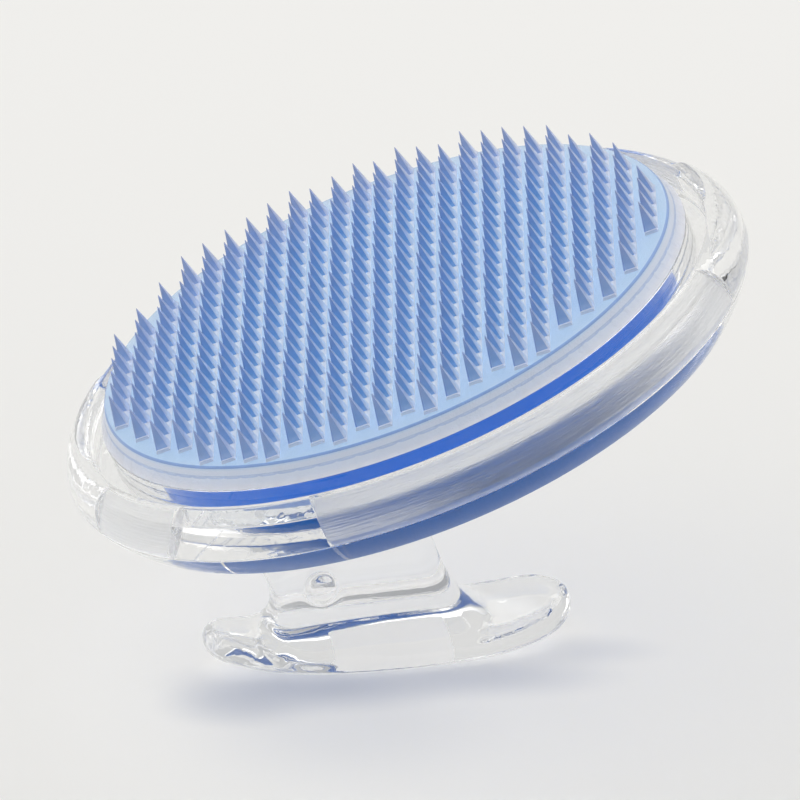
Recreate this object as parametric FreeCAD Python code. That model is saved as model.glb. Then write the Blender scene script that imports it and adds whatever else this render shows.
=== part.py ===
import FreeCAD, Part
import math
import os

# Palm-held scalp massager brush, in millimetres, +Z up.
# The brush lies bristles up on its curved handle plate, with the ribs of bristles along Y. The
# head leans about that direction, so its +X end is the high one. It is built with the origin on
# the floor below the middle of the round head, and last of all moved so that the origin is
# under the middle of the whole brush.

# clear body of the head, in the head's own frame: axis z, z = 0 at the rim's widest
head_height = 45.4
head_tilt = 20.9
rim_diameter = 100.0
rim_height = 10.4
crown_inset = 4.0
rim_lip = 0.6
seam_height = -1.2
seam_inset = 0.6
bottom_inset = 3.0
bottom_bulge = 0.22
floor_thickness = 0.8

# two full bulges of the rim between the two finger scoops, as angles from +x
bulge_span = 151.5
bulge_middle = -28.25
scoop_hollow = 0.35

# blue plate on the floor of the well
plate_clearance = 0.2
plate_thickness = 3.2

# clear ring that stands on the ledge round the well and carries the bristle pad
moat_width = 2.4
ring_wall = 4.6
ring_height = 4.5
ledge_depth = 3.8

# bristle pad, its ribs and the height of their teeth
pad_ledge_inset = 1.0
pad_ledge_height = 1.6
pad_top_inset = 1.6
pad_top_height = 2.9
rib_pitch = 3.22
rib_offset = 0.3
rib_width = 1.95
rib_bar_height = 0.8
rib_edge_gap = 0.4
tooth_height = 4.0
tooth_tip_shift = -0.2

# palm plate of the handle
palm_x = -2.8
palm_yaw = 14.7
palm_half_length = 26.6
palm_side_radius = 82.0
palm_low_end_radius = 4.6
palm_high_end_radius = 7.6
palm_thickness = 4.6
palm_flat_half = 10.0
palm_curl_radius = 52.0
palm_edge_radius = 1.9

# post of the handle
post_foot_shift = -1.7
post_half_length = 12.7
post_half_width = 3.9
post_corner_radius = 2.6
post_foot_flare = 4.2
post_foot_flare_height = 6.5
post_head_flare = 3.0
post_head_flare_height = 9.0
boss_radius = 2.1
boss_shift = -8.6
boss_height = 12.4

rim_radius = rim_diameter / 2
half_rim = rim_height / 2
crown_radius = rim_radius - crown_inset
lip_radius = crown_radius - rim_lip
seam_radius = rim_radius - seam_inset
pad_radius = lip_radius - moat_width
well_radius = pad_radius - ring_wall
well_floor = floor_thickness - half_rim
ledge_top = half_rim - ledge_depth
pad_seat = ledge_top + ring_height
pad_plateau = pad_seat + pad_top_height
pad_plateau_radius = pad_radius - pad_top_inset
field_radius = pad_plateau_radius - rib_edge_gap
ribs_each_side = int((field_radius - rib_width / 2 - rib_offset) / rib_pitch)
rib_bar_top = pad_plateau + rib_bar_height
tooth_tip = rib_bar_top + tooth_height


def point(x, z):
    return FreeCAD.Vector(x, 0, z)


def line(start, end):
    return Part.LineSegment(point(*start), point(*end)).toShape()


def arc(start, through, end):
    return Part.Arc(point(*start), point(*through), point(*end)).toShape()


def turned(edges, start=0, span=360):
    """Closed outline turned about the head's axis, from one angle through a span."""
    outline = Part.Face(Part.Wire(edges))
    axis = FreeCAD.Vector(0, 0, 1)
    outline.rotate(FreeCAD.Vector(0, 0, 0), axis, start)
    return outline.revolve(FreeCAD.Vector(0, 0, 0), axis, span)


def turned_polygon(corners):
    ends = corners[1:] + corners[:1]
    return turned([line(start, end) for start, end in zip(corners, ends)])


def bulge_side(foot, crown):
    """Full bulge of the rim, in two arcs that meet at the rim's widest line."""
    widest = (rim_radius, 0)
    diagonal = math.sqrt(0.5)
    shoulder = (crown[0] + crown_inset * diagonal, half_rim * diagonal)
    under = (rim_radius - seam_inset / 4, seam_height / 2)
    return [arc(foot, under, widest), arc(widest, shoulder, crown)]


def scoop_side(foot, crown):
    """Shallow hollow of a scoop, straight from the crown to the foot but for a slight sag."""
    run = foot[0] - crown[0]
    drop = foot[1] - crown[1]
    length = math.hypot(run, drop)
    middle = (
        (foot[0] + crown[0]) / 2 + scoop_hollow * drop / length,
        (foot[1] + crown[1]) / 2 - scoop_hollow * run / length,
    )
    return [arc(foot, middle, crown)]


def bulge(middle):
    """One bulge of the rim, with the rim's wall behind it."""
    crown = (crown_radius, half_rim)
    foot = (seam_radius, seam_height)
    lip = (lip_radius, half_rim - rim_lip)
    behind = (lip_radius, seam_height)
    wall = [line(crown, lip), line(lip, behind), line(behind, foot)]
    return turned(bulge_side(foot, crown) + wall, middle - bulge_span / 2, bulge_span)


def clear_body():
    """Clear bowl of the head: a rim with two scoops, a ledge, a well and a thin floor."""
    crown = (crown_radius, half_rim)
    foot = (seam_radius, seam_height)
    bottom = (seam_radius - bottom_inset, -half_rim)
    rise = half_rim + seam_height
    slant = math.hypot(bottom_inset, rise)
    corner = (
        bottom[0] + bottom_inset / 2 + rise / slant * bottom_bulge,
        bottom[1] + rise / 2 - bottom_inset / slant * bottom_bulge,
    )
    path = [
        crown,
        (lip_radius, half_rim - rim_lip),
        (lip_radius, ledge_top),
        (well_radius, ledge_top),
        (well_radius, well_floor),
        (0, well_floor),
        (0, -half_rim),
        bottom,
    ]
    edges = [line(start, end) for start, end in zip(path, path[1:])]
    body = turned(scoop_side(foot, crown) + edges + [arc(bottom, corner, foot)])
    for turn in (0, 180):
        body = body.fuse(bulge(bulge_middle + turn))
    return body


def blue_plate():
    radius = well_radius - plate_clearance
    return Part.makeCylinder(radius, plate_thickness, FreeCAD.Vector(0, 0, well_floor))


def pad_ring():
    return turned_polygon([
        (well_radius, ledge_top),
        (pad_radius, ledge_top),
        (pad_radius, pad_seat),
        (well_radius, pad_seat),
    ])


def bristle_pad():
    return turned_polygon([
        (0, pad_seat),
        (pad_radius, pad_seat),
        (pad_radius - pad_ledge_inset, pad_seat + pad_ledge_height),
        (pad_plateau_radius, pad_plateau),
        (0, pad_plateau),
    ])


def bristle_rib(x):
    """One rib with the envelope of its teeth, cut off short of the pad's edge."""
    half_width = rib_width / 2
    half_length = math.sqrt(field_radius ** 2 - (abs(x) + half_width) ** 2)
    corners = [
        (x - half_width, pad_plateau),
        (x + half_width, pad_plateau),
        (x + half_width, rib_bar_top),
        (x + tooth_tip_shift, tooth_tip),
        (x - half_width, rib_bar_top),
    ]
    outline = [FreeCAD.Vector(cx, -half_length, cz) for cx, cz in corners]
    face = Part.Face(Part.makePolygon(outline + outline[:1]))
    return face.extrude(FreeCAD.Vector(0, 2 * half_length, 0))


def bristle_ribs():
    places = range(-ribs_each_side, ribs_each_side + 1)
    return [bristle_rib(place * rib_pitch + rib_offset) for place in places]


def palm_outline():
    """Egg-shaped oval made of two end arcs and two side arcs that run into them."""
    low = palm_low_end_radius
    high = palm_high_end_radius
    low_x = low - palm_half_length
    high_x = palm_half_length - high
    apart = high_x - low_x
    to_low = palm_side_radius - low
    to_high = palm_side_radius - high
    along = (to_low ** 2 - to_high ** 2 + apart ** 2) / (2 * apart)
    side_x = low_x + along
    side_y = math.sqrt(to_low ** 2 - along ** 2)

    def join(end_x, end_radius, side):
        scale = end_radius / (palm_side_radius - end_radius)
        return FreeCAD.Vector(end_x + (end_x - side_x) * scale, side * side_y * scale, 0)

    edges = []
    for side in (1, -1):
        crest = FreeCAD.Vector(side_x, side * (palm_side_radius - side_y), 0)
        start = join(low_x, low, side)
        end = join(high_x, high, side)
        edges.append(Part.Arc(start, crest, end).toShape())
    for end_x, end_radius, side_of_plate in ((low_x, low, -1), (high_x, high, 1)):
        tip = FreeCAD.Vector(side_of_plate * palm_half_length, 0, 0)
        start = join(end_x, end_radius, 1)
        end = join(end_x, end_radius, -1)
        edges.append(Part.Arc(start, tip, end).toShape())
    return Part.Wire(Part.sortEdges(edges)[0])


def palm_plate():
    """Oval cut from a slab that is flat in the middle and curls up at both ends."""
    curl = palm_curl_radius
    top_curl = curl - palm_thickness
    angle = math.asin((palm_half_length + palm_thickness - palm_flat_half) / curl)

    def on_curl(side, radius, turn):
        x = side * (palm_flat_half + radius * math.sin(turn))
        return point(x, curl - radius * math.cos(turn))

    def curl_arc(side, radius):
        start, middle, end = [on_curl(side, radius, turn) for turn in (0, angle / 2, angle)]
        return Part.Arc(start, middle, end).toShape()

    def straight(start, end):
        return Part.LineSegment(start, end).toShape()

    edges = [
        straight(on_curl(-1, curl, 0), on_curl(1, curl, 0)),
        curl_arc(1, curl),
        straight(on_curl(1, curl, angle), on_curl(1, top_curl, angle)),
        curl_arc(1, top_curl),
        straight(on_curl(1, top_curl, 0), on_curl(-1, top_curl, 0)),
        curl_arc(-1, top_curl),
        straight(on_curl(-1, top_curl, angle), on_curl(-1, curl, angle)),
        curl_arc(-1, curl),
    ]
    slab = Part.Face(Part.Wire(Part.sortEdges(edges)[0]))
    slab = slab.extrude(FreeCAD.Vector(0, 2 * palm_half_length, 0))
    slab.translate(FreeCAD.Vector(0, -palm_half_length, 0))
    tall = Part.Face(palm_outline()).extrude(FreeCAD.Vector(0, 0, palm_curl_radius))
    plate = slab.common(tall).Solids[0]
    rims = [edge for edge in plate.Edges if is_palm_rim(edge)]
    return plate.makeFillet(palm_edge_radius, rims)


def is_palm_rim(edge):
    """True for the edges where the plate's upright side meets its top or its bottom."""
    first = edge.valueAt(edge.FirstParameter)
    last = edge.valueAt(edge.LastParameter)
    upright = math.hypot(first.x - last.x, first.y - last.y) < 1e-6
    across = abs(first.x - last.x) < 1e-6 and abs(first.y + last.y) < 1e-6
    return not upright and not across


def post_section(height, grow):
    """Rounded oblong across the post at one height, leaning with the head's axis."""
    half_length = post_half_length + grow
    half_width = post_half_width + grow
    radius = post_corner_radius + grow
    lean = (height - palm_thickness) * math.tan(math.radians(head_tilt))
    yaw = math.radians(palm_yaw)
    centre_x = post_foot_shift - lean * math.cos(yaw)
    centre_y = lean * math.sin(yaw)
    flat_x = half_length - radius
    flat_y = half_width - radius
    edges = []
    for quarter in range(4):
        turn = math.radians(90 * quarter)
        along = (1, -1, -1, 1)[quarter] * flat_x
        across = (1, 1, -1, -1)[quarter] * flat_y
        corner = []
        for step in (0, 0.5, 1):
            angle = turn + step * math.pi / 2
            corner.append(FreeCAD.Vector(
                centre_x + along + radius * math.cos(angle),
                centre_y + across + radius * math.sin(angle),
                height,
            ))
        edges.append((Part.Arc(*corner).toShape(), corner))
    wire = []
    for index, (bend, corner) in enumerate(edges):
        following = edges[(index + 1) % 4][1]
        wire.append(bend)
        wire.append(Part.LineSegment(corner[2], following[0]).toShape())
    return Part.Wire(wire)


def post():
    """Waisted post from inside the palm plate up to the flat underside of the head."""
    foot = palm_thickness
    under = foot + post_length() * math.cos(math.radians(head_tilt))
    sections = [post_section(foot / 2, post_foot_flare)]
    for share in (0, 0.35, 0.7, 1):
        grow = post_foot_flare * (1 - share) ** 2
        sections.append(post_section(foot + share * post_foot_flare_height, grow))
    for share in (0, 0.5, 1):
        grow = post_head_flare * share ** 2
        sections.append(post_section(under + (share - 1) * post_head_flare_height, grow))
    sections.append(post_section(head_height, post_head_flare * 2))
    return Part.makeLoft(sections, True, False)


def post_foot():
    """Where the post's axis leaves the palm plate, on the floor plan."""
    yaw = math.radians(palm_yaw)
    return palm_x + post_foot_shift * math.cos(yaw), post_foot_shift * math.sin(yaw)


def post_length():
    """Length of the post's axis from the palm plate to the head's underside."""
    tilt = math.radians(head_tilt)
    foot_depth = (head_height - palm_thickness) * math.cos(tilt) + post_foot()[0] * math.sin(tilt)
    return foot_depth - half_rim


def to_handle_place(shape):
    """Turn a handle shape to its yaw and set it below the head."""
    moved = shape.copy()
    moved.rotate(FreeCAD.Vector(0, 0, 0), FreeCAD.Vector(0, 0, 1), palm_yaw)
    moved.translate(FreeCAD.Vector(palm_x, 0, 0))
    return moved


def to_head_place(shape):
    """Lean a head shape about its rib direction and lift it to its height."""
    moved = shape.copy()
    moved.rotate(FreeCAD.Vector(0, 0, 0), FreeCAD.Vector(0, 1, 0), -head_tilt)
    moved.translate(FreeCAD.Vector(0, 0, head_height))
    return moved


def handle():
    """Clear handle in one moulding: palm plate, post and the round boss on the post."""
    upright = to_handle_place(post())
    beyond = Part.makeBox(
        4 * rim_radius, 4 * rim_radius, 4 * rim_radius,
        FreeCAD.Vector(-2 * rim_radius, -2 * rim_radius, -half_rim),
    )
    upright = upright.cut(to_head_place(beyond))
    boss_x = post_foot_shift + boss_shift
    boss = Part.makeSphere(boss_radius, FreeCAD.Vector(boss_x, -post_half_width, boss_height))
    plate = to_handle_place(palm_plate())
    return plate.fuse([upright, to_handle_place(boss)]).removeSplitter()


def to_middle(pieces):
    """Move all the pieces together, until the middle of their box is over the origin."""
    box = Part.makeCompound(list(pieces.values())).optimalBoundingBox()
    shift = FreeCAD.Vector(-box.Center.x, -box.Center.y, 0)
    for shape in pieces.values():
        shape.translate(shift)
    return pieces


brush = to_middle({
    "clear_body": to_head_place(clear_body()),
    "blue_plate": to_head_place(blue_plate()),
    "pad_ring": to_head_place(pad_ring()),
    "bristle_pad": to_head_place(bristle_pad()),
    "bristle_ribs": to_head_place(Part.makeCompound(bristle_ribs())),
    "handle": handle(),
})
os.makedirs("parts", exist_ok=True)
for name, shape in brush.items():
    shape.exportStep("parts/" + name + ".step")
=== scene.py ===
import math

import bmesh
import bpy
from mathutils import Matrix, Vector


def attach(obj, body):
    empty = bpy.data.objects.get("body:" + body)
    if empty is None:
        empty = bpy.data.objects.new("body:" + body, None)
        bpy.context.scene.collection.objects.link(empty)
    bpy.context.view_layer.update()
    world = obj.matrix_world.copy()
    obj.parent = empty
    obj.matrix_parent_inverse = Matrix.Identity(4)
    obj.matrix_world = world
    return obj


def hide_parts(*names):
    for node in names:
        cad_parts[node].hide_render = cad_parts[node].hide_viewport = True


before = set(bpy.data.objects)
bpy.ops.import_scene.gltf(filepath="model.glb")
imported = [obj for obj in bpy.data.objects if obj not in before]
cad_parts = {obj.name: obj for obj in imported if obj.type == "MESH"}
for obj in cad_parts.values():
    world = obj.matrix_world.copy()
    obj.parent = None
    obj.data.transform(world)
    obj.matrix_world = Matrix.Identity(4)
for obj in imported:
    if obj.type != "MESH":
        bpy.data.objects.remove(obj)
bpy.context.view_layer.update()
scene = bpy.context.scene

# where the head sits: its own frame has z along its axis and z = 0 at the rim's widest line
headPose = {"shift": 0.226, "height": 45.4, "tilt": 20.9}

millimetre = Matrix.Scale(0.001, 4)
headPlace = (
    millimetre
    @ Matrix.Translation((headPose["shift"], 0, headPose["height"]))
    @ Matrix.Rotation(math.radians(-headPose["tilt"]), 4, "Y")
)


class Wire:
    # a socket in a node tree; sums and products of wires add Math nodes
    def __init__(self, tree, socket=None):
        self.tree = tree
        self.socket = socket

    def node(self, kind, settings=None, values=None, output=0):
        made = self.tree.nodes.new(kind)
        for key, value in (settings or {}).items():
            if key == "stops":
                self.fillRamp(made.color_ramp, value)
            else:
                setattr(made, key, value)
        for key, value in (values or {}).items():
            if isinstance(value, Wire):
                self.tree.links.new(value.socket, made.inputs[key])
            else:
                made.inputs[key].default_value = value
        return Wire(self.tree, made.outputs[output] if len(made.outputs) else None)

    def fillRamp(self, ramp, stops):
        while len(ramp.elements) < len(stops):
            ramp.elements.new(1)
        for element, (place, colour) in zip(ramp.elements, stops):
            element.position = place
            element.color = (*colour, 1)

    def out(self, name):
        return Wire(self.tree, self.socket.node.outputs[name])

    def calc(self, operation, *terms):
        return self.node("ShaderNodeMath", {"operation": operation}, dict(enumerate(terms)))

    def __add__(self, other):
        return self.calc("ADD", self, other)

    __radd__ = __add__

    def __mul__(self, other):
        return self.calc("MULTIPLY", self, other)

    __rmul__ = __mul__

    def __sub__(self, other):
        return self.calc("SUBTRACT", self, other)

    def __rsub__(self, other):
        return self.calc("SUBTRACT", other, self)

    def __truediv__(self, other):
        return self.calc("DIVIDE", self, other)

    def __pow__(self, other):
        return self.calc("POWER", self, other)


def addObject(name, mesh):
    made = bpy.data.objects.new(name, mesh)
    scene.collection.objects.link(made)
    return made


def closedMesh(name, points, faces, place, sharpAngle=32):
    mesh = bpy.data.meshes.new(name)
    mesh.from_pydata(points, [], faces)
    bm = bmesh.new()
    bm.from_mesh(mesh)
    bmesh.ops.remove_doubles(bm, verts=bm.verts, dist=1e-4)
    bmesh.ops.dissolve_degenerate(bm, edges=bm.edges, dist=1e-5)
    loose = [edge for edge in bm.edges if edge.is_wire]
    bmesh.ops.delete(bm, geom=loose, context="EDGES")
    bmesh.ops.recalc_face_normals(bm, faces=bm.faces)
    if bm.calc_volume(signed=True) < 0:
        bmesh.ops.reverse_faces(bm, faces=bm.faces)
    bm.to_mesh(mesh)
    bm.free()
    mesh.transform(place)
    mesh.shade_smooth()
    mesh.set_sharp_from_angle(angle=math.radians(sharpAngle))
    return mesh


def ringMesh(name, columns, place, sharpAngle=32):
    # columns of points, each a closed outline, joined round the axis into a closed skin
    count = len(columns[0])
    points = [point for column in columns for point in column]
    faces = []
    for index in range(len(columns)):
        here = index * count
        there = (index + 1) % len(columns) * count
        for k in range(count):
            nextK = (k + 1) % count
            faces.append((here + k, here + nextK, there + nextK, there + k))
    return closedMesh(name, points, faces, place, sharpAngle)


def polar(radius, angle, z):
    return (radius * math.cos(angle), radius * math.sin(angle), z)


def rounded(corners, steps=4, hold=0.12):
    # corners are (r, z, rounding); a held point each side keeps the flats flat when shaded
    path = []
    for index, (r, z, rounding) in enumerate(corners):
        here = Vector((r, z))
        if not rounding:
            path.append(here)
            continue
        before = Vector(corners[index - 1][:2]) - here
        after = Vector(corners[(index + 1) % len(corners)][:2]) - here
        start = here + before.normalized() * rounding
        end = here + after.normalized() * rounding
        path.append(here + before.normalized() * (rounding + hold))
        for step in range(steps + 1):
            t = step / steps
            path.append(start * (1 - t) ** 2 + here * 2 * t * (1 - t) + end * t ** 2)
        path.append(here + after.normalized() * (rounding + hold))
    return [tuple(p) for p in path]


def turnedMesh(name, outline, columns, place):
    steps = [2 * math.pi * index / columns for index in range(columns)]
    return ringMesh(name, [[polar(r, angle, z) for r, z in outline] for angle in steps], place)


def finishedPiece(name, mesh, material, slot, *nodes):
    # no shadow of its own: clear plastic passes light on, and the floor carries a painted shadow
    # instead
    piece = addObject(name, mesh)
    piece.visible_shadow = False
    mesh.materials.clear()
    mesh.materials.append(material)
    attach(piece, "root")
    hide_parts(*nodes)
    return piece


def newMaterial(name, **surface):
    # even values go straight on the shader's own sockets
    material = bpy.data.materials.new(name)
    material.use_nodes = True
    tree = material.node_tree
    shader = tree.nodes["Principled BSDF"]
    for key, value in surface.items():
        shader.inputs[key.replace("_", " ")].default_value = value
    return material, Wire(tree), shader


def feed(wire, shader, name):
    wire.tree.links.new(wire.socket, shader.inputs[name])


def headCoordinates(root):
    # object coordinates turned into the head's own frame, in millimetres
    place = root.node("ShaderNodeTexCoord").out("Object")
    moved = root.node(
        "ShaderNodeVectorMath",
        {"operation": "SUBTRACT"},
        {0: place, 1: (headPose["shift"] / 1000, 0, headPose["height"] / 1000)},
    )
    turned = root.node(
        "ShaderNodeVectorRotate",
        {"rotation_type": "Y_AXIS"},
        {"Vector": moved, "Angle": math.radians(headPose["tilt"])},
    )
    return root.node("ShaderNodeVectorMath", {"operation": "SCALE"}, {0: turned, "Scale": 1000})


# bumps are in metres
clearLook = {
    "tint": (0.975, 0.985, 0.99, 1),
    "warmTint": (0.99, 0.988, 0.98, 1),
    "index": 1.49,
    "polish": 0.01,
    "smudge": 0.05,
    "ripple": 0.00004,
    "rippleScale": 0.35,
    "dustScale": 1.6,
    "frost": 0.0,
    "frostBump": 0.00014,
}


def ridgeMask(root, place):
    # 1 on the bulge of a ridge, 0 in a scoop and inside the rim
    parts = root.node("ShaderNodeSeparateXYZ", None, {"Vector": place})
    x, y, z = parts.out("X"), parts.out("Y"), parts.out("Z")
    radius = root.calc("SQRT", x * x + y * y)
    scoop = bodyShape["crownRadius"] + (bodyShape["top"] - z) * bodyShape["scoopLean"]
    proud = root.node(
        "ShaderNodeMapRange",
        {"interpolation_type": "SMOOTHSTEP"},
        {"Value": radius - scoop, "From Min": 0.25, "From Max": 0.7},
    )
    seam = bodyShape["seam"]
    above = root.node(
        "ShaderNodeMapRange", None, {"Value": z, "From Min": seam + 0.05, "From Max": seam + 0.15}
    )
    angle = root.calc("ARCTAN2", y, x)
    # drawn out along the rim, so that the frost runs in streaks
    along = root.node(
        "ShaderNodeCombineXYZ",
        None,
        {"X": angle * bodyShape["radius"] * 0.12, "Y": z * 2.2, "Z": radius * 2.2},
    )
    halfTurn = root.calc("FLOORED_MODULO", angle * (180 / math.pi), 180.0)
    zone = 0.0
    for middle, span in bodyShape["ridges"]:
        zone = root.calc("COMPARE", halfTurn, middle % 180, span / 2) + zone
    return proud * above * zone, along


def clearPlastic(name, look):
    material, root, shader = newMaterial(name, Transmission_Weight=1.0, IOR=look["index"])
    place = headCoordinates(root)
    flow = root.node(
        "ShaderNodeTexNoise", None, {"Vector": place, "Scale": look["rippleScale"], "Detail": 2.0}
    )
    dust = root.node(
        "ShaderNodeTexNoise", None, {"Vector": place, "Scale": look["dustScale"], "Detail": 4.0}
    )
    worn = root.calc("MAXIMUM", (dust - 0.5) * 4, 0.0)
    rough = look["polish"] + worn * look["smudge"]
    height = flow * look["ripple"]
    if look["frost"]:
        mask, along = ridgeMask(root, place)
        streaks = root.node("ShaderNodeTexNoise", None, {"Vector": along, "Scale": 1.5, "Detail": 5.0})
        rough = rough + mask * (0.3 + streaks) * look["frost"]
        height = height + mask * streaks * look["frostBump"]
    feed(rough, shader, "Roughness")
    feed(root.node("ShaderNodeBump", None, {"Distance": 1.0, "Height": height}), shader, "Normal")
    shade = root.node(
        "ShaderNodeMix",
        {"data_type": "RGBA"},
        {"Factor": flow, 6: look["tint"], 7: look["warmTint"]},
        2,
    )
    feed(shade, shader, "Base Color")
    return material


# rim and back of the head in one moulding; lengths in mm from the widest line, angles in degrees
bodyShape = {
    "radius": 50.0,
    "crownRadius": 46.0,
    "top": 5.2,
    "lipRadius": 45.4,
    "lip": 0.6,
    "seam": -1.2,
    "seamRadius": 49.4,
    "seamDepth": 0.12,
    "bottom": -5.2,
    "cornerInset": 3.0,
    "cornerBulge": 0.22,
    "ledge": 1.4,
    "wellRadius": 38.4,
    "wellFloor": -4.4,
    "scoopHollow": 0.35,
    "scoopLean": 0.472,
    "bulges": ((-28.25, 151.5),),
    "ridges": ((-62.0, 84.0), (37.0, 21.0)),
    "facet": 0.5,
    "endSlant": 1.0,
    "endWidth": 1.1,
    "columnStep": 1.0,
}


def outerSide(shape, ridge, facet):
    # (r, z, share of the height) from the seam up to the crown: a slightly hollow scoop where
    # ridge is 0, a full bulge where it is 1; facet flattens the bulge above the widest line
    crownR, top = shape["crownRadius"], shape["top"]
    footR, foot = shape["seamRadius"], shape["seam"]
    footSteps, crownSteps = 5, 14
    side = []
    for step in range(footSteps + crownSteps + 1):
        if step <= footSteps:
            s = step / footSteps
            bulge = (footR + (shape["radius"] - footR) * math.sin(s * math.pi / 2), foot * (1 - s))
        else:
            turn = (step - footSteps) / crownSteps * math.pi / 2
            bulge = (crownR + (shape["radius"] - crownR) * math.cos(turn), top * math.sin(turn))
        t = min(max((bulge[1] - foot) / (top - foot), 0), 1)
        if bulge[1] > 0:
            flat = shape["radius"] + (crownR - shape["radius"]) * bulge[1] / top
            bulge = (bulge[0] + (flat - bulge[0]) * facet * shape["facet"], bulge[1])
        run, drop = crownR - footR, top - foot
        length = math.hypot(run, drop)
        sag = 4 * t * (1 - t) * shape["scoopHollow"]
        scoop = (footR + run * t - drop / length * sag, foot + drop * t + run / length * sag)
        r = scoop[0] + (bulge[0] - scoop[0]) * ridge
        z = scoop[1] + (bulge[1] - scoop[1]) * ridge
        side.append((r, z, t))
    return side


def bodySection(shape, ridge, facet, angleAt):
    inset, bottom, seam = shape["cornerInset"], shape["bottom"], shape["seam"]
    under = [(0, bottom), (shape["seamRadius"] - inset - 1, bottom)]
    rise = seam - 0.15 - bottom
    for step in range(9):
        s = step / 8
        bulge = 4 * s * (1 - s) * shape["cornerBulge"] / math.hypot(inset, rise)
        under.append((
            shape["seamRadius"] - inset * (1 - s) + rise * bulge,
            bottom + rise * s - inset * bulge,
        ))
    seamLine = [(shape["seamRadius"] - shape["seamDepth"], seam - 0.03)]
    outer = outerSide(shape, ridge, facet)
    inside = rounded([
        (shape["crownRadius"] - 0.2, shape["top"], 0),
        (shape["lipRadius"], shape["top"] - shape["lip"], 0.2),
        (shape["lipRadius"], shape["ledge"], 0.2),
        (shape["wellRadius"], shape["ledge"], 0.15),
        (shape["wellRadius"], shape["wellFloor"], 0.2),
        (0, shape["wellFloor"], 0),
    ])
    section = [polar(r, angleAt(0), z) for r, z in under + seamLine]
    section += [polar(r, angleAt(t), z) for r, z, t in outer]
    section += [polar(r, angleAt(1), z) for r, z in inside]
    return section


def shareAt(shape, zones, angle):
    # 1 inside a zone or its twin half a turn on, 0 outside, eased over the width of an end
    weight = 0
    for turn in (0, 180):
        for middle, span in zones:
            off = abs((angle - middle - turn + 180) % 360 - 180) - span / 2
            s = min(max(0.5 - off / shape["endWidth"], 0), 1)
            weight = max(weight, s * s * (3 - 2 * s))
    return weight


def bodyStations(shape):
    # (angle, slant): close together at the ends of the ridges, whose end faces lean
    half = shape["endWidth"] / 2
    shares = (-1.6, -1, -0.8, -0.4, 0, 0.4, 0.8, 1, 1.6)
    (longMiddle, longSpan), (shortMiddle, shortSpan) = shape["ridges"]
    ends = []
    for turn in (0, 180):
        for middle, span in shape["bulges"]:
            ends.append((middle + turn - span / 2, 1))
            ends.append((middle + turn + span / 2, -1))
        # a ridge has one end in the middle of a bulge; its other end is the bulge's own
        ends.append((turn + longMiddle + longSpan / 2, 0))
        ends.append((turn + shortMiddle - shortSpan / 2, 0))
    stations = []
    for end, rise in ends:
        for share in shares:
            slant = rise * shape["endSlant"] if abs(share) <= 1 else 0.0
            stations.append((end + share * half, slant))
    for index in range(round(360 / shape["columnStep"])):
        angle = -180 + index * shape["columnStep"]
        nearest = min(abs((angle - end + 180) % 360 - 180) for end, _ in ends)
        if nearest > half * shares[-1] + 0.3:
            stations.append((angle, 0.0))
    return sorted(stations, key=lambda station: (station[0] + 180) % 360)


def makeBody(shape):
    columns = []
    for angle, slant in bodyStations(shape):
        # a leaning end face turns its points a little more the further they are from mid-height
        def angleAt(t, angle=angle, slant=slant):
            return math.radians(angle + slant * (1 - 2 * t))
        bulge = shareAt(shape, shape["bulges"], angle)
        ridge = shareAt(shape, shape["ridges"], angle)
        columns.append(bodySection(shape, bulge, ridge, angleAt))
    return ringMesh("clearBody", columns, headPlace, 28)


print("clear body")
rimPlastic = clearPlastic("rimPlastic", {**clearLook, "frost": 0.65})
ringPlastic = clearPlastic("ringPlastic", {**clearLook, "rippleScale": 0.2})
handlePlastic = clearPlastic("handlePlastic", {**clearLook, "rippleScale": 0.3})
finishedPiece("clearBody", makeBody(bodyShape), rimPlastic, "clear_plastic", "clear_body")


plateShape = {"radius": 38.2, "bottom": -4.35, "top": -1.2, "rounding": 0.3}


def plateOutline(shape):
    return rounded([
        (0, shape["bottom"], 0),
        (shape["radius"], shape["bottom"], shape["rounding"]),
        (shape["radius"], shape["top"], shape["rounding"]),
        (0, shape["top"], 0),
    ])


blueLook = {"deep": (0.002, 0.14, 0.58, 1), "bright": (0.006, 0.18, 0.68, 1), "ripple": 0.03}


def bluePlastic(look):
    material, root, shader = newMaterial("bluePlastic", IOR=1.5, Specular_IOR_Level=0.12)
    place = headCoordinates(root)
    cloud = root.node("ShaderNodeTexNoise", None, {"Vector": place, "Scale": 0.06, "Detail": 3.0})
    grain = root.node("ShaderNodeTexNoise", None, {"Vector": place, "Scale": 2.5, "Detail": 3.0})
    mixed = root.node(
        "ShaderNodeMix", {"data_type": "RGBA"}, {"Factor": cloud, 6: look["deep"], 7: look["bright"]}, 2
    )
    feed(mixed, shader, "Base Color")
    feed(0.16 + grain * 0.12, shader, "Roughness")
    bump = root.node("ShaderNodeBump", None, {"Distance": look["ripple"] / 1000, "Height": grain})
    feed(bump, shader, "Normal")
    return material


print("blue plate")
plateMesh = turnedMesh("bluePlate", plateOutline(plateShape), 240, headPlace)
finishedPiece("bluePlate", plateMesh, bluePlastic(blueLook), "blue_plastic", "blue_plate")


ringShape = {"outer": 43.0, "inner": 38.4, "bottom": 1.45, "top": 5.85, "rounding": 0.2}


def ringOutline(shape):
    return rounded([
        (shape["inner"], shape["bottom"], shape["rounding"]),
        (shape["outer"], shape["bottom"], shape["rounding"]),
        (shape["outer"], shape["top"], shape["rounding"]),
        (shape["inner"], shape["top"], shape["rounding"]),
    ])


padShape = {
    "radius": 43.0,
    "seat": 5.9,
    "ledgeInset": 1.0,
    "ledgeTop": 7.5,
    "topInset": 1.6,
    "plateau": 8.8,
    "skirtRibs": 90,
    "skirtRibDepth": 0.1,
    "skirtFoot": 6.0,
}


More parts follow.
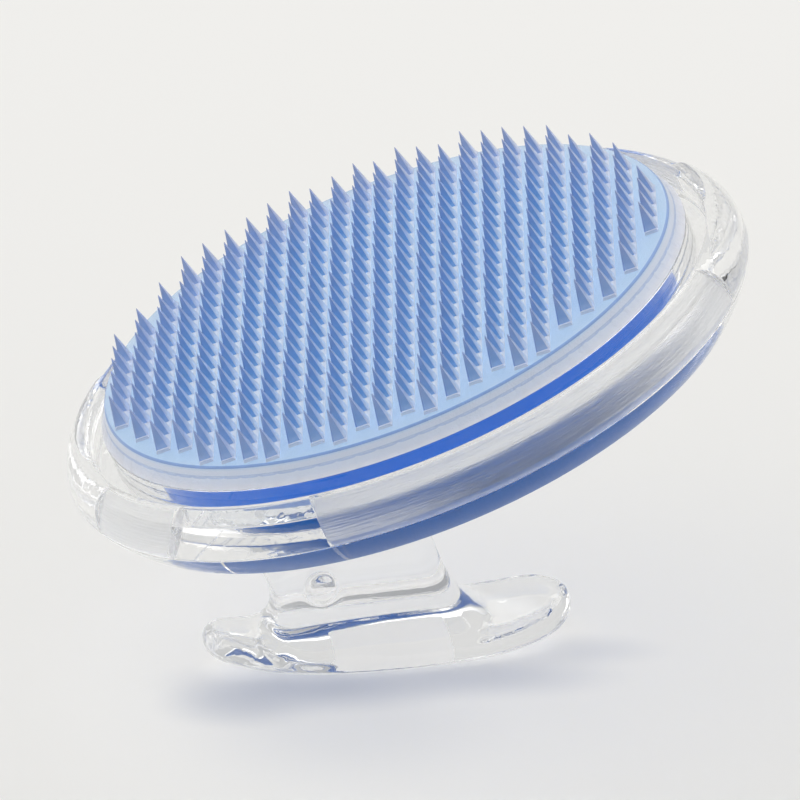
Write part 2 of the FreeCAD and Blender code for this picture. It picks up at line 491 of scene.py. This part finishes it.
def padColumns(shape):
    outline = rounded([
        (0, shape["seat"], 0),
        (shape["radius"], shape["seat"], 0.04),
        (shape["radius"] - shape["ledgeInset"], shape["ledgeTop"], 0.15),
        (shape["radius"] - shape["topInset"], shape["plateau"], 0.25),
        (0, shape["plateau"], 0),
    ])
    columns = []
    count = shape["skirtRibs"] * 8
    for index in range(count):
        angle = 2 * math.pi * index / count
        wave = max(0, math.cos(angle * shape["skirtRibs"])) ** 4
        column = []
        for r, z in outline:
            onSkirt = shape["skirtFoot"] < z < shape["ledgeTop"] and r > shape["radius"] - 1.2
            cut = shape["skirtRibDepth"] * (1 - wave) if onSkirt else 0
            column.append(polar(r - cut, angle, z))
        columns.append(column)
    return columns


rubberLook = {
    "pad": (0.56, 0.77, 1.0, 1),
    "padPale": (0.68, 0.84, 1.0, 1),
    "skirt": (0.96, 0.96, 1.0, 1),
    "edgeLine": (0.22, 0.36, 0.74, 1),
    # painted light on the teeth: painted shade on the faces turned to -x, a painted highlight on those
    # turned to +x
    "toothFace": (0.24, 0.49, 0.86),
    "toothEdge": (0.05, 0.22, 0.62),
    "toothFlankHighlight": (0.76, 0.87, 1.0),
    "toothTip": (0.52, 0.62, 0.9),
    # the bars are painted cream-white, a painted highlight of their lit tops
    "bar": (0.95, 0.94, 0.92),
    "rimTint": (0.62, 0.65, 0.84, 1),
    # where the tint starts and is full, from a point this far in front of the pad's middle, in mm
    "rimTintZone": (29.0, 44.0),
    "rimTintShift": 3.0,
}


def padRubber(look):
    material, root, shader = newMaterial("padRubber", Transmission_Weight=0.4, IOR=1.42)
    place = headCoordinates(root)
    cloud = root.node("ShaderNodeTexNoise", None, {"Vector": place, "Scale": 0.12, "Detail": 3.0})
    specks = root.node(
        "ShaderNodeTexNoise", None, {"Vector": place, "Scale": 3.0, "Detail": 5.0, "Roughness": 0.7}
    )
    mixed = root.node(
        "ShaderNodeMix", {"data_type": "RGBA"}, {"Factor": cloud, 6: look["pad"], 7: look["padPale"]}, 2
    )
    parts = root.node("ShaderNodeSeparateXYZ", None, {"Vector": place})
    x, y = parts.out("X"), parts.out("Y")
    radius = root.calc("SQRT", x * x + y * y)
    topEdge = padShape["radius"] - padShape["topInset"]
    ledgeEdge = padShape["radius"] - padShape["ledgeInset"]
    skirt = root.node(
        "ShaderNodeMapRange",
        None,
        {"Value": radius, "From Min": topEdge + 0.05, "From Max": topEdge + 0.3},
    )
    line = root.calc("COMPARE", radius, topEdge + 0.02, 0.14)
    ledge = root.calc("COMPARE", radius, ledgeEdge + 0.03, 0.07)
    outer = root.node(
        "ShaderNodeMix", {"data_type": "RGBA"}, {"Factor": skirt, 6: mixed, 7: look["skirt"]}, 2
    )
    lined = root.node(
        "ShaderNodeMix",
        {"data_type": "RGBA"},
        {"Factor": root.calc("MAXIMUM", line * 0.8, ledge * 0.4), 6: outer, 7: look["edgeLine"]},
        2,
    )
    feed(lined, shader, "Base Color")
    feed(0.1 + specks * 0.16, shader, "Roughness")
    bump = root.node("ShaderNodeBump", None, {"Distance": 0.00012, "Height": specks})
    feed(bump, shader, "Normal")
    return material


def toothRubber(look):
    # each face of a tooth carries painted light: a painted highlight on the faces turned to +x, painted
    # shade on those turned to -x; the outermost teeth are paler, with no blue below
    material, root, shader = newMaterial("toothRubber", Transmission_Weight=0.4, IOR=1.42)
    place = headCoordinates(root)
    grain = root.node("ShaderNodeTexNoise", None, {"Vector": place, "Scale": 1.8, "Detail": 3.0})
    paint = root.node("ShaderNodeAttribute", {"attribute_name": "paint"}).out("Color")
    parts = root.node("ShaderNodeSeparateXYZ", None, {"Vector": place})
    x, y = parts.out("X"), parts.out("Y")
    y = y + look["rimTintShift"]
    radius = root.calc("SQRT", x * x + y * y)
    begin, full = look["rimTintZone"]
    outer = root.node(
        "ShaderNodeMapRange", None, {"Value": radius, "From Min": begin, "From Max": full}
    )
    tinted = root.node(
        "ShaderNodeMix",
        {"data_type": "RGBA"},
        {"Factor": (outer + (grain - 0.5) * 0.4) * 0.6, 6: paint, 7: look["rimTint"]},
        2,
    )
    feed(tinted, shader, "Base Color")
    feed(0.12 + grain * 0.12, shader, "Roughness")
    return material


print("bristle pad")
ringSkin = turnedMesh("padRing", ringOutline(ringShape), 240, headPlace)
finishedPiece("padRing", ringSkin, ringPlastic, "clear_plastic", "pad_ring")
padMesh = ringMesh("bristlePad", padColumns(padShape), headPlace)
finishedPiece("bristlePad", padMesh, padRubber(rubberLook), "bristle_rubber", "bristle_pad")


ribShape = {
    "count": 25,
    "pitch": 3.22,
    "offset": 0.3,
    "width": 1.95,
    "barHeight": 0.45,
    "fieldRadius": 41.0,
    "toothPitch": 3.97,
    "toothPhase": 0.345,
    "toothHeight": 4.35,
    "tipShift": -0.2,
    "toothThickness": 2.1,
    "toothEdgeGap": 0.9,
    "barOverhang": 1.4,
    "gridRows": 24,
    "seed": 7,
}


def toothMesh(shape, look):
    # a leaning fin: flat faces with cut corners, drawn out to a fine tip
    points, faces = [], []
    sides = 8
    shares = (-0.05, 0.0, 0.25, 0.5, 0.75, 0.93, 1.0)
    for share in shares:
        size = 1 - 0.96 * max(share, 0)
        halfX = shape["width"] / 2 * size
        halfY = shape["toothThickness"] / 2 * (0.12 + 0.88 * size)
        cutX, cutY = halfX * 0.22, halfY * 0.3
        lean = shape["tipShift"] * max(share, 0)
        flatX, flatY = halfX - cutX, halfY - cutY
        for x, y in (
            (halfX, -flatY), (halfX, flatY), (flatX, halfY), (-flatX, halfY),
            (-halfX, flatY), (-halfX, -flatY), (-flatX, -halfY), (flatX, -halfY),
        ):
            points.append((x + lean, y, share * shape["toothHeight"]))
    for level in range(len(shares) - 1):
        for side in range(sides):
            a = level * sides + side
            b = level * sides + (side + 1) % sides
            faces.append((a, b, b + sides, a + sides))
    faces.append(tuple(range(sides))[::-1])
    faces.append(tuple(range(len(points) - sides, len(points))))
    mesh = closedMesh("toothSeed", points, faces, Matrix.Identity(4), 20)
    paint = mesh.color_attributes.new("paint", "FLOAT_COLOR", "CORNER")
    # painted light: faces turned to +x take a painted highlight, faces turned to -x painted shade, all
    # paler towards the tip
    for polygon in mesh.polygons:
        way = polygon.normal.x
        shade = look["toothFace"]
        if way > 0.4:
            shade = look["toothFlankHighlight"]
        elif way < -0.4:
            shade = look["toothEdge"]
        for corner in polygon.loop_indices:
            point = mesh.vertices[mesh.loops[corner].vertex_index].co
            share = max(point.z / shape["toothHeight"], 0)
            mixed = [a + (b - a) * share ** 2 for a, b in zip(shade, look["toothTip"])]
            paint.data[corner].color = (*mixed, 1)
    return mesh


def barMesh(shape, look):
    # a bar of half length 1 with eased top edges, stretched along y by the field
    half, top, ease, sunk = shape["width"] / 2, shape["barHeight"], 0.22, -0.02
    outline = [
        (-half, sunk),
        (half, sunk),
        (half, top - ease),
        (half - ease, top),
        (ease - half, top),
        (-half, top - ease),
    ]
    points = [(x, y, z) for y in (-1, 1) for x, z in outline]
    count = len(outline)
    faces = [(k, (k + 1) % count, (k + 1) % count + count, k + count) for k in range(count)]
    faces += [tuple(range(count))[::-1], tuple(range(count, 2 * count))]
    mesh = closedMesh("barSeed", points, faces, Matrix.Identity(4), 40)
    # painted highlight: the whole bar takes the cream-white bar colour
    paint = mesh.color_attributes.new("paint", "FLOAT_COLOR", "CORNER")
    for spot in paint.data:
        spot.color = (*look["bar"], 1)
    return mesh


def treeInput(tree, name, kind, value=None):
    socket = tree.interface.new_socket(name, in_out="INPUT", socket_type=kind)
    if value is not None:
        socket.default_value = value
    return socket.identifier


def bristleTree(shape):
    tree = bpy.data.node_groups.new("bristleField", "GeometryNodeTree")
    tree.interface.new_socket("Geometry", in_out="OUTPUT", socket_type="NodeSocketGeometry")
    ids = {
        "tooth": treeInput(tree, "Tooth", "NodeSocketObject"),
        "bar": treeInput(tree, "Bar", "NodeSocketObject"),
        "material": treeInput(tree, "Rubber", "NodeSocketMaterial"),
    }
    for name, key in (
        ("Rib Pitch", "pitch"),
        ("Rib Offset", "offset"),
        ("Field Radius", "fieldRadius"),
        ("Tooth Pitch", "toothPitch"),
        ("Tooth Phase", "toothPhase"),
        ("Edge Gap", "toothEdgeGap"),
        ("Bar Overhang", "barOverhang"),
        ("Bar Height", "barHeight"),
    ):
        treeInput(tree, name, "NodeSocketFloat", shape[key])
    treeInput(tree, "Seed", "NodeSocketInt", shape["seed"])
    root = Wire(tree)
    given = root.node("NodeGroupInput")
    step, phase = given.out("Tooth Pitch"), given.out("Tooth Phase")
    radius = given.out("Field Radius")
    middle = (shape["count"] - 1) / 2
    rows = shape["gridRows"]

    index = root.node("GeometryNodeInputIndex")
    column = index.calc("FLOOR", index / rows)
    row = index - column * rows
    ribX = (column - middle) * given.out("Rib Pitch") + given.out("Rib Offset")
    stagger = column.calc("FLOORED_MODULO", column, 2.0) * 0.5
    toothY = (row - rows / 2 + phase + stagger) * step
    reach = radius * radius - (ribX.calc("ABSOLUTE", ribX) + shape["width"] / 2) ** 2
    barHalf = reach.calc("SQRT", reach)
    place = root.node(
        "ShaderNodeCombineXYZ", None, {"X": ribX, "Y": toothY, "Z": given.out("Bar Height")}
    )
    grid = root.node("GeometryNodeMeshLine", None, {"Count": shape["count"] * rows})
    spread = root.node("GeometryNodeSetPosition", None, {"Geometry": grid, "Position": place})
    away = toothY.calc("ABSOLUTE", toothY)
    outside = away.calc("GREATER_THAN", away, barHalf - given.out("Edge Gap"))
    kept = root.node("GeometryNodeDeleteGeometry", None, {"Geometry": spread, "Selection": outside})
    lean = root.node(
        "FunctionNodeRandomValue",
        {"data_type": "FLOAT_VECTOR"},
        {"Min": (-0.03, -0.02, -0.06), "Max": (0.03, 0.02, 0.06), "Seed": given.out("Seed")},
    )
    size = root.node(
        "FunctionNodeRandomValue",
        {"data_type": "FLOAT_VECTOR"},
        {"Min": (0.97, 0.94, 0.93), "Max": (1.0, 1.04, 0.985), "Seed": given.out("Seed") + 1},
    )
    toothInfo = root.node("GeometryNodeObjectInfo", None, {"Object": given.out("Tooth")})
    teeth = root.node(
        "GeometryNodeInstanceOnPoints",
        None,
        {"Points": kept, "Instance": toothInfo.out("Geometry"), "Rotation": lean, "Scale": size},
    )

    barX = (index - middle) * given.out("Rib Pitch") + given.out("Rib Offset")
    barReach = radius * radius - (barX.calc("ABSOLUTE", barX) + shape["width"] / 2) ** 2
    # a bar ends a little past its own first and last teeth
    edge = barReach.calc("SQRT", barReach) - given.out("Edge Gap")
    start = index.calc("FLOORED_MODULO", index, 2.0) * 0.5 + phase
    first = (start.calc("CEIL", edge / step * -1.0 - start) + start) * step
    last = (start.calc("FLOOR", edge / step - start) + start) * step
    barPlace = root.node("ShaderNodeCombineXYZ", None, {"X": barX, "Y": (first + last) * 0.5})
    barHalfY = (last - first) * 0.5 + given.out("Bar Overhang")
    barSize = root.node("ShaderNodeCombineXYZ", None, {"X": 1.0, "Y": barHalfY, "Z": 1.0})
    barLine = root.node("GeometryNodeMeshLine", None, {"Count": shape["count"]})
    barSpots = root.node(
        "GeometryNodeSetPosition", None, {"Geometry": barLine, "Position": barPlace}
    )
    barInfo = root.node("GeometryNodeObjectInfo", None, {"Object": given.out("Bar")})
    bars = root.node(
        "GeometryNodeInstanceOnPoints",
        None,
        {"Points": barSpots, "Instance": barInfo.out("Geometry"), "Scale": barSize},
    )
    joined = root.node("GeometryNodeJoinGeometry", None, {"Geometry": teeth})
    tree.links.new(bars.socket, joined.socket.node.inputs[0])
    real = root.node("GeometryNodeRealizeInstances", None, {"Geometry": joined})
    painted = root.node(
        "GeometryNodeSetMaterial", None, {"Geometry": real, "Material": given.out("Rubber")}
    )
    final = root.tree.nodes.new("NodeGroupOutput")
    tree.links.new(painted.socket, final.inputs[0])
    return tree, ids


def meshFromTree(name, tree, values):
    holder = addObject(name + "Holder", bpy.data.meshes.new(name + "Holder"))
    modifier = holder.modifiers.new("tree", "NODES")
    modifier.node_group = tree
    for identifier, value in values.items():
        modifier[identifier] = value
    bpy.context.view_layer.update()
    depsgraph = bpy.context.evaluated_depsgraph_get()
    mesh = bpy.data.meshes.new_from_object(holder.evaluated_get(depsgraph))
    mesh.name = name
    holder.modifiers.remove(modifier)
    bpy.data.objects.remove(holder)
    return mesh


print("ribs and teeth")
toothMaterial = toothRubber(rubberLook)
toothSeed = addObject("toothSeed", toothMesh(ribShape, rubberLook))
barSeed = addObject("barSeed", barMesh(ribShape, rubberLook))
fieldTree, fieldIds = bristleTree(ribShape)
fieldMesh = meshFromTree("bristleTeeth", fieldTree, {
    fieldIds["tooth"]: toothSeed,
    fieldIds["bar"]: barSeed,
    fieldIds["material"]: toothMaterial,
})
bpy.data.objects.remove(toothSeed)
bpy.data.objects.remove(barSeed)
fieldMesh.transform(headPlace @ Matrix.Translation((0, 0, padShape["plateau"])))
finishedPiece("bristleTeeth", fieldMesh, toothMaterial, "bristle_rubber", "bristle_ribs")
print("teeth mesh faces", len(fieldMesh.polygons))


handleShape = {"voxel": 0.0004, "smoothing": 45, "smoothFactor": 0.5}


def makeHandle(shape):
    # the designed handle, with its hard edges eased
    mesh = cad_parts["handle"].data.copy()
    bm = bmesh.new()
    bm.from_mesh(mesh)
    bmesh.ops.remove_doubles(bm, verts=bm.verts, dist=1e-6)
    bm.to_mesh(mesh)
    bm.free()
    holder = addObject("handleHolder", mesh)
    remesh = holder.modifiers.new("remesh", "REMESH")
    remesh.mode = "VOXEL"
    remesh.voxel_size = shape["voxel"]
    smooth = holder.modifiers.new("smooth", "SMOOTH")
    smooth.factor = shape["smoothFactor"]
    smooth.iterations = shape["smoothing"]
    depsgraph = bpy.context.evaluated_depsgraph_get()
    final = bpy.data.meshes.new_from_object(holder.evaluated_get(depsgraph))
    bpy.data.objects.remove(holder)
    final.name = "handle"
    final.shade_smooth()
    return final


print("handle")
handleMesh = makeHandle(handleShape)
finishedPiece("handlePiece", handleMesh, handlePlastic, "clear_plastic", "handle")
print("handle faces", len(handleMesh.polygons))


stageLook = {
    "half": 4.0,
    "colour": (0.86, 0.855, 0.84, 1),
    # the colour of the painted shadow
    "shade": (0.47, 0.5, 0.58, 1),
    # painted shadow: soft patches of painted shade before the handle: x, y, half width, half depth in
    # mm, strength; each fades in from the first share of its half size to the second
    "shadowPatchEdge": (1.25, 0.1),
    "shadowPatches": (
        (-13.0, -11.5, 20.0, 8.0, 0.9),
        (-23.0, -17.0, 11.0, 7.0, 0.55),
        (9.0, -8.5, 20.0, 7.0, 0.6),
        (-9.0, -22.0, 22.0, 20.0, 0.2),
        (23.0, -1.0, 13.0, 5.0, 0.35),
    ),
}


def makeFloor(look):
    half = look["half"]
    corners = [(-half, -half, 0), (half, -half, 0), (half, half, 0), (-half, half, 0)]
    mesh = bpy.data.meshes.new("floor")
    mesh.from_pydata(corners, [], [(0, 1, 2, 3)])
    material, root, shader = newMaterial("floorPaper", Roughness=0.9)
    place = root.node("ShaderNodeTexCoord").out("Object")
    grain = root.node("ShaderNodeTexNoise", None, {"Vector": place, "Scale": 3.0, "Detail": 2.0})
    mixed = root.node(
        "ShaderNodeMix",
        {"data_type": "RGBA"},
        {"Factor": grain, 6: look["colour"], 7: tuple(0.985 * c for c in look["colour"][:3]) + (1,)},
        2,
    )
    parts = root.node("ShaderNodeSeparateXYZ", None, {"Vector": place})
    x, y = parts.out("X") * 1000, parts.out("Y") * 1000
    outer, inner = look["shadowPatchEdge"]
    # painted shadow: each patch darkens the floor colour towards the painted shadow colour
    light = 1.0
    for middleX, middleY, halfX, halfY, strength in look["shadowPatches"]:
        across, along = (x - middleX) / halfX, (y - middleY) / halfY
        away = root.calc("SQRT", across * across + along * along)
        patch = root.node(
            "ShaderNodeMapRange",
            {"interpolation_type": "SMOOTHSTEP"},
            {"Value": away, "From Min": outer, "From Max": inner, "To Max": strength},
        )
        light = (1 - patch) * light
    shaded = root.node(
        "ShaderNodeMix", {"data_type": "RGBA"}, {"Factor": 1 - light, 6: mixed, 7: look["shade"]}, 2
    )
    feed(shaded, shader, "Base Color")
    mesh.materials.append(material)
    floor = addObject("floor", mesh)


def softbox(name, place, target, width, height, power, colour):
    light = bpy.data.lights.new(name, "AREA")
    light.shape = "RECTANGLE"
    light.size = width
    light.size_y = height
    light.energy = power
    light.color = colour
    box = bpy.data.objects.new(name, light)
    box.location = place
    box.rotation_euler = (Vector(target) - Vector(place)).to_track_quat("-Z", "Y").to_euler()
    scene.collection.objects.link(box)


worldLook = {
    "strength": 0.73,
    # from the camera's side to the far side
    "stops": [
        (0.0, (0.5, 0.51, 0.53)),
        (0.35, (0.7, 0.71, 0.72)),
        (0.75, (0.95, 0.95, 0.94)),
        (1.0, (1, 1, 0.99)),
    ],
}


def makeWorld(look):
    world = bpy.data.worlds.new("studio")
    world.use_nodes = True
    tree = world.node_tree
    root = Wire(tree)
    background = tree.nodes["Background"]
    way = root.node("ShaderNodeTexCoord").out("Generated")
    parts = root.node("ShaderNodeSeparateXYZ", None, {"Vector": way})
    lean = parts.out("Y") * 0.5 + 0.5
    ramp = root.node(
        "ShaderNodeValToRGB",
        {"stops": look["stops"]},
        {"Fac": lean},
    )
    tree.links.new(ramp.socket, background.inputs["Color"])
    background.inputs["Strength"].default_value = look["strength"]
    scene.world = world


lightLook = {
    "keyLight": {
        "place": (0.12, 0.38, 0.85),
        "target": (0, 0, 0.03),
        "width": 0.8,
        "height": 0.8,
        "power": 4.0,
        "colour": (1, 0.985, 0.96),
    },
    "sideLight": {
        "place": (-0.7, 0.1, 0.35),
        "target": (0, 0, 0.04),
        "width": 0.3,
        "height": 0.5,
        "power": 0.7,
        "colour": (1, 0.97, 0.92),
    },
}
cameraLook = {"lens": 360, "place": (-0.00074, -0.99408, 0.52336), "pitch": 64}

print("stage")
makeFloor(stageLook)
makeWorld(worldLook)
for name, look in lightLook.items():
    softbox(name, **look)

cameraData = bpy.data.cameras.new("camera")
cameraData.lens = cameraLook["lens"]
cameraData.sensor_width = 36
cameraData.clip_start = 0.01
camera = bpy.data.objects.new("camera", cameraData)
camera.location = cameraLook["place"]
camera.rotation_euler = (math.radians(cameraLook["pitch"]), 0, 0)
scene.collection.objects.link(camera)
scene.camera = camera
scene.view_settings.view_transform = "Standard"
# light that runs round inside the clear rim must not die out
scene.cycles.max_bounces = 40
scene.cycles.glossy_bounces = 30
scene.cycles.transmission_bounces = 36
